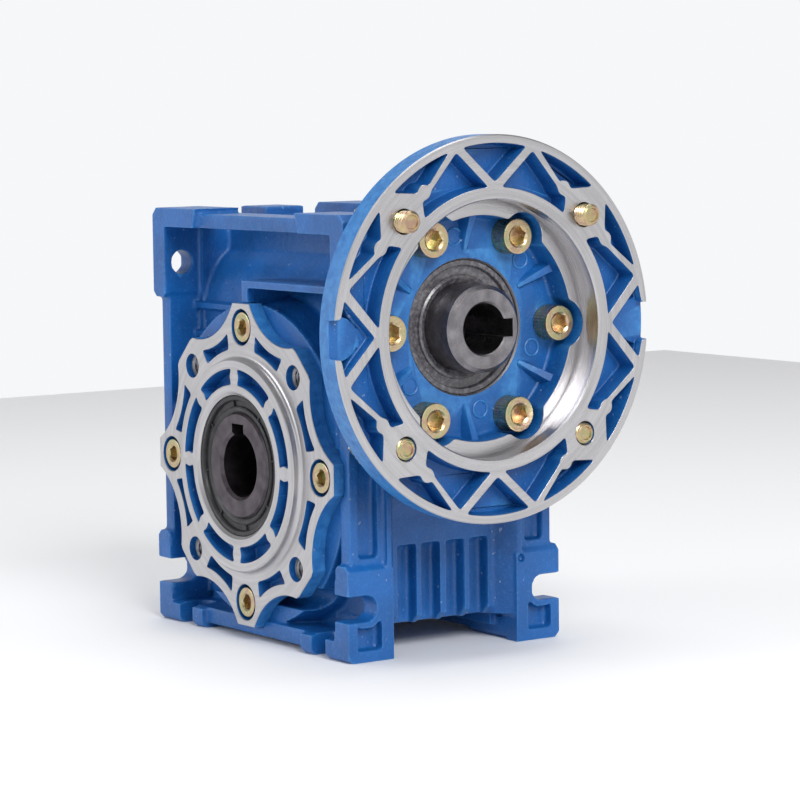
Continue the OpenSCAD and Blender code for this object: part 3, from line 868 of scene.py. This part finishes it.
def motor_bolts():
    out = []
    side = 30.05
    for k, (u, v) in enumerate(((-side, side), (side, side), (-side, -side), (side, -side))):
        head, tip = (57.8, 73.8) if v > 0 else (54.3, 70.3)
        out.append(at(bolt_with_thread(head, tip, tip - 7), u, v, 20 * k))
    piece = join("motor_hex_bolts", out)
    coated(piece, M["gold"])
    return place(piece, "front")


# ---------------------------------------------------------------- seals

def output_seal(name, face):
    """Rubber-covered shaft seal with a stepped face and small ribs in its groove."""
    seal = lathe([(20, 32.1), (20, 38.8), (19.7, 39.1), (18.7, 39.1), (18.5, 38.9), (18.3, 38.1),
                  (16.9, 38.0), (16.7, 38.5), (16.3, 38.75), (15.7, 38.6), (15.05, 38.2),
                  (15.05, 37.0), (15.6, 35.5), (16.6, 34.6), (16.8, 37.0), (18.4, 37.0), (18.4, 32.1)])
    ribs = []
    for k in range(8):
        rib = loft([([(16.8, -0.25), (18.4, -0.25), (18.4, 0.25), (16.8, 0.25)], 37.6),
                    ([(16.9, -0.18), (18.3, -0.18), (18.3, 0.18), (16.9, 0.18)], 38.6)])
        rib.data.transform(Matrix.Rotation(math.radians(45 * k + 9), 4, "Z"))
        ribs.append(rib)
    unite(seal, ribs)
    coated(seal, M["rubber"])
    return place(join(name, [seal]), face)


def input_seal():
    """Shaft seal at the motor side, wet with grease."""
    seal = lathe([(18.5, 48.1), (18.5, 54.3), (18.2, 54.6), (17.0, 54.6), (16.8, 54.4), (16.6, 53.4),
                  (14.4, 53.2), (14.2, 53.9), (13.6, 54.2), (12.9, 54.0), (12.05, 53.4), (12.05, 52.2),
                  (12.7, 50.8), (13.4, 50.2), (13.8, 52.4), (16.8, 52.4), (16.8, 48.1)])
    coated(seal, M["wet_rubber"])
    return place(join("greasy_input_seal", [seal]), "front")


# ---------------------------------------------------------------- housing

def housing():
    """The painted casting: the CAD solid with its edges rounded as sand casting leaves them, and a
    crisp machined face on the far side."""
    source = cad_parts["housing"]
    body = bpy.data.objects.new("housing_casting", source.data.copy())
    bpy.context.scene.collection.objects.link(body)
    body.data.transform(Matrix.Scale(1 / MM, 4))
    fix_normals(body)
    far_side = place_mm(cylinder(47.5, SEAT_N, RING_N + 1, steps=96), "far")
    cut(body, [far_side])
    with_modifier(body, "REMESH", mode="VOXEL", voxel_size=0.5)
    with_modifier(body, "SMOOTH", factor=0.5, iterations=4)
    triangles = 2 * len(body.data.polygons)
    with_modifier(body, "DECIMATE", ratio=min(1.0, 190000 / triangles))
    body.data.transform(Matrix.Scale(MM, 4))
    coated(body, M["paint"])
    far = output_face(SEAT_N - 2.0, 26)
    finish_by_rule(far, M["paint"], M["cover_face"], output_face_metal)
    sleeves = copies(thread_sleeve(27, STAR_N - 1.8),
                     [(*polar(TAPPED_R, 90 * k + 45), 30 * k) for k in range(4)])
    for sleeve in sleeves:
        coated(sleeve, M["thread"])
    far = place(join("far_face", [far] + sleeves), "far")
    return join("housing_casting", [body, far])


def place_mm(obj, face):
    place(obj, face)
    obj.data.transform(Matrix.Scale(1 / MM, 4))
    return obj


# ---------------------------------------------------------------- assembly

def dress(piece, node, body):
    smooth_shade(piece)
    with_modifier(piece, "WEIGHTED_NORMAL", keep_sharp=True, weight=100)
    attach(piece, body)
    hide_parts(node)


dress(housing(), "housing", "case")
dress(output_cover(), "output_cover", "case")
dress(cover_screws(), "cover_screws", "case")
dress(input_flange(), "input_flange", "case")
dress(flange_screws(), "flange_screws", "case")
dress(motor_bolts(), "motor_bolts", "case")
dress(output_seal("near_shaft_seal", "near"), "near_output_seal", "case")
dress(output_seal("far_shaft_seal", "far"), "far_output_seal", "case")
dress(input_seal(), "input_seal", "case")

NODE_MATERIALS = {
    "output_shaft": "output_steel", "worm_shaft": "input_steel", "worm_wheel": "bronze",
    "cover_o_ring": "rubber", "rear_end_cap": "rubber", "rear_snap_ring": "spring",
    "flange_gasket": "gasket",
}
for name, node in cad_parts.items():
    kind = NODE_MATERIALS.get(name, "cage" if name.endswith("cage") else "bearing")
    coated(node, M[kind])


# ---------------------------------------------------------------- camera, floor and light

def camera():
    """A long lens looking down a little on the corner between the cover and the motor flange."""
    azimuth, elevation, roll = (math.radians(a) for a in (55.083, 5.516, -0.72))
    target = Vector((25.417, -0.93, 17.942)) * MM
    back = Vector((math.sin(azimuth) * math.cos(elevation), -math.cos(azimuth) * math.cos(elevation),
                   math.sin(elevation)))
    right = Vector((math.cos(azimuth), math.sin(azimuth), 0))
    up = back.cross(right)
    turned_right = right * math.cos(roll) + up * math.sin(roll)
    turned_up = up * math.cos(roll) - right * math.sin(roll)
    data = bpy.data.cameras.new("camera")
    data.sensor_width, data.lens, data.clip_start = 36.0, 139.966, 0.05
    obj = bpy.data.objects.new("camera", data)
    bpy.context.scene.collection.objects.link(obj)
    matrix = Matrix((turned_right, turned_up, back)).transposed().to_4x4()
    matrix.translation = target + 874.34 * MM * back
    obj.matrix_world = matrix
    bpy.context.scene.camera = obj


def floor():
    verts = [(x, y, -50.0 * MM) for x, y in ((-0.7, -0.7), (0.7, -0.7), (0.7, 0.7), (-0.7, 0.7))]
    obj = new_object("floor", verts, [[0, 1, 2, 3]])
    p = Paint("pale_floor", specular=0.2)
    color = p.mix(p.noise(300, 2), (0.86, 0.86, 0.87), (0.90, 0.90, 0.90))
    obj.data.materials.append(p.surface(color, 0.6))


def softbox(name, position, size, power, tone=(1, 1, 1)):
    data = bpy.data.lights.new(name, "AREA")
    data.shape, data.size, data.size_y = "RECTANGLE", size[0], size[1]
    data.energy, data.color = power, tone
    obj = bpy.data.objects.new(name, data)
    bpy.context.scene.collection.objects.link(obj)
    obj.location = position
    aim = Vector((0.01, 0, 0.02)) - Vector(position)
    obj.rotation_euler = aim.to_track_quat("-Z", "Y").to_euler()


def lights():
    bpy.context.scene.view_settings.view_transform = "Standard"
    world = bpy.data.worlds.new("studio")
    world.use_nodes = True
    tree = world.node_tree
    # Bright round the horizon and dimmer overhead, like a studio sweep.
    height = tree.nodes.new("ShaderNodeSeparateXYZ")
    tree.links.new(tree.nodes.new("ShaderNodeTexCoord").outputs["Generated"], height.inputs[0])
    ramp = tree.nodes.new("ShaderNodeMapRange")
    tree.links.new(height.outputs["Z"], ramp.inputs["Value"])
    for key, value in (("From Min", 0.22), ("From Max", 0.60), ("To Min", 0.95), ("To Max", 0.30)):
        ramp.inputs[key].default_value = value
    background = tree.nodes["Background"]
    background.inputs["Color"].default_value = (0.97, 0.98, 1.0, 1)
    tree.links.new(ramp.outputs["Result"], background.inputs["Strength"])
    bpy.context.scene.world = world
    softbox("key", (1.1, -0.25, 0.75), (0.6, 0.6), 13)
    softbox("side", (-0.5, -1.1, 0.45), (0.7, 0.5), 4.5, (0.96, 0.97, 1.0))
    softbox("top", (0.0, 0.1, 1.2), (0.8, 0.8), 6)


camera()
floor()
lights()
